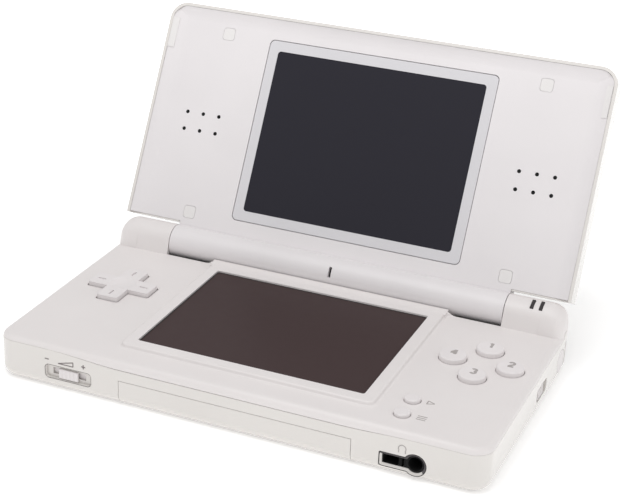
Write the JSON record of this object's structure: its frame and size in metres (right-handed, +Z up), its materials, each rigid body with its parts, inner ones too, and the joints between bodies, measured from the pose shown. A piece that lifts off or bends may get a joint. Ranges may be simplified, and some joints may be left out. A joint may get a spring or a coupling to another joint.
{
  "type": "clamshell handheld game console",
  "caption": "White clamshell handheld game console with two screens: the lid turns on a barrel hinge, with direction pad, push buttons, sliders, stylus and slots.",
  "frame": {"origin": "on the flat underside of the lower half, mid width and mid depth", "axes": "+X to the player's right, +Y away from the player towards the hinge, +Z up out of the top plate; the lid stands open at 118.35 degrees from closed"},
  "size_m": [0.133, 0.1066, 0.0758],
  "materials": {
    "shell": "glossy moulded plastic",
    "white": "satin moulded plastic",
    "button": "satin moulded plastic",
    "print_white": "printed border",
    "rubber_white": "soft rubber",
    "rubber": "conductive rubber pad",
    "glass": "clear hard-coated panel over a dark screen",
    "screen": "display that is off",
    "steel": "plated sheet steel",
    "black": "black moulded plastic",
    "board": "solder mask",
    "battery": "wrapped cell",
    "copper": "flexible printed cable",
    "nylon": "nylon",
    "light": "smoked light guide",
    "mesh": "acoustic cloth"
  },
  "bodies": {
    "base": {"base_lower_shell": "shell", "base_top_shell": "white", "battery_cover": "shell", "battery_cover_screw": "steel", "battery_pack": "battery", "base_screws": "steel", "screw_caps": "rubber_white", "cartridge_connector": "black", "card_slot": "steel", "main_board": "board", "lower_screen_frame": "white", "touch_panel": "glass", "lower_display": "screen", "lower_display_tray": "steel", "face_button_pad": "rubber", "small_button_pad": "rubber", "left_shoulder_pin": "steel", "right_shoulder_pin": "steel", "volume_switch": "steel", "power_switch": "steel", "headphone_socket": "black", "accessory_socket": "black", "charging_socket": "black", "status_lights": "light", "radio_board": "board", "hinge_cartridge": "steel", "hinge_bush": "nylon", "display_cable": "copper"},
    "lid": {"lid_outer_shell": "shell", "lid_inner_shell": "white", "upper_lens": "glass", "upper_mask": "print_white", "upper_display": "screen", "upper_display_tray": "steel", "left_speaker": "steel", "right_speaker": "steel", "speaker_meshes": "mesh", "lid_screws": "steel", "lid_screw_caps": "rubber_white", "lid_side_tabs": "rubber_white", "microphone": "black", "hinge_shaft": "steel"},
    "dpad_pad": {"dpad_pad": "rubber"},
    "dpad": {"dpad": "button"},
    "button_top": {"button_top": "button"},
    "button_right": {"button_right": "button"},
    "button_bottom": {"button_bottom": "button"},
    "button_left": {"button_left": "button"},
    "start_button": {"start_button": "button"},
    "select_button": {"select_button": "button"},
    "left_shoulder_button": {"left_shoulder_button": "shell"},
    "right_shoulder_button": {"right_shoulder_button": "shell"},
    "volume_slider": {"volume_slider": "button"},
    "power_slider": {"power_slider": "button"},
    "stylus": {"stylus": "white"},
    "cartridge_slot_cover": {"cartridge_slot_cover": "shell"}
  },
  "joints": [
    {"name": "lid_hinge", "type": "hinge", "parent": "base", "child": "lid", "pos_m": [0, 0.03195, 0.0145], "axis": [1, 0, 0], "range_deg": [-36.65, 118.35]},
    {"name": "dpad_rock_x", "type": "hinge", "parent": "base", "child": "dpad_pad", "pos_m": [-0.0507, 0.0019, 0.0102], "axis": [1, 0, 0], "range_deg": [-3, 3], "stiffness_Nm_per_rad": 0.08},
    {"name": "dpad_rock_y", "type": "hinge", "parent": "dpad_pad", "child": "dpad", "pos_m": [-0.0507, 0.0019, 0.0102], "axis": [0, 1, 0], "range_deg": [-3, 3], "stiffness_Nm_per_rad": 0.08},
    {"name": "button_top_press", "type": "slide", "parent": "base", "child": "button_top", "axis": [0, 0, -1], "range_m": [0, 0.0007], "stiffness_N_per_m": 700},
    {"name": "button_right_press", "type": "slide", "parent": "base", "child": "button_right", "axis": [0, 0, -1], "range_m": [0, 0.0007], "stiffness_N_per_m": 700},
    {"name": "button_bottom_press", "type": "slide", "parent": "base", "child": "button_bottom", "axis": [0, 0, -1], "range_m": [0, 0.0007], "stiffness_N_per_m": 700},
    {"name": "button_left_press", "type": "slide", "parent": "base", "child": "button_left", "axis": [0, 0, -1], "range_m": [0, 0.0007], "stiffness_N_per_m": 700},
    {"name": "start_button_press", "type": "slide", "parent": "base", "child": "start_button", "axis": [0, 0, -1], "range_m": [0, 0.0007], "stiffness_N_per_m": 700},
    {"name": "select_button_press", "type": "slide", "parent": "base", "child": "select_button", "axis": [0, 0, -1], "range_m": [0, 0.0007], "stiffness_N_per_m": 700},
    {"name": "left_shoulder_press", "type": "hinge", "parent": "base", "child": "left_shoulder_button", "pos_m": [-0.0546, 0.03435, 0.0058], "axis": [0, 0, 1], "range_deg": [0, 3], "stiffness_Nm_per_rad": 0.12},
    {"name": "right_shoulder_press", "type": "hinge", "parent": "base", "child": "right_shoulder_button", "pos_m": [0.0546, 0.03435, 0.0058], "axis": [0, 0, -1], "range_deg": [0, 3], "stiffness_Nm_per_rad": 0.12},
    {"name": "volume_slide", "type": "slide", "parent": "base", "child": "volume_slider", "axis": [1, 0, 0], "range_m": [-0.0032, 0.0032]},
    {"name": "power_slide", "type": "slide", "parent": "base", "child": "power_slider", "axis": [0, 1, 0], "range_m": [0, 0.0018], "stiffness_N_per_m": 500},
    {"name": "stylus_draw", "type": "slide", "parent": "base", "child": "stylus", "axis": [1, 0, 0], "range_m": [0, 0.085]},
    {"name": "slot_cover_draw", "type": "slide", "parent": "base", "child": "cartridge_slot_cover", "axis": [0, -1, 0], "range_m": [0, 0.025]}
  ]
}
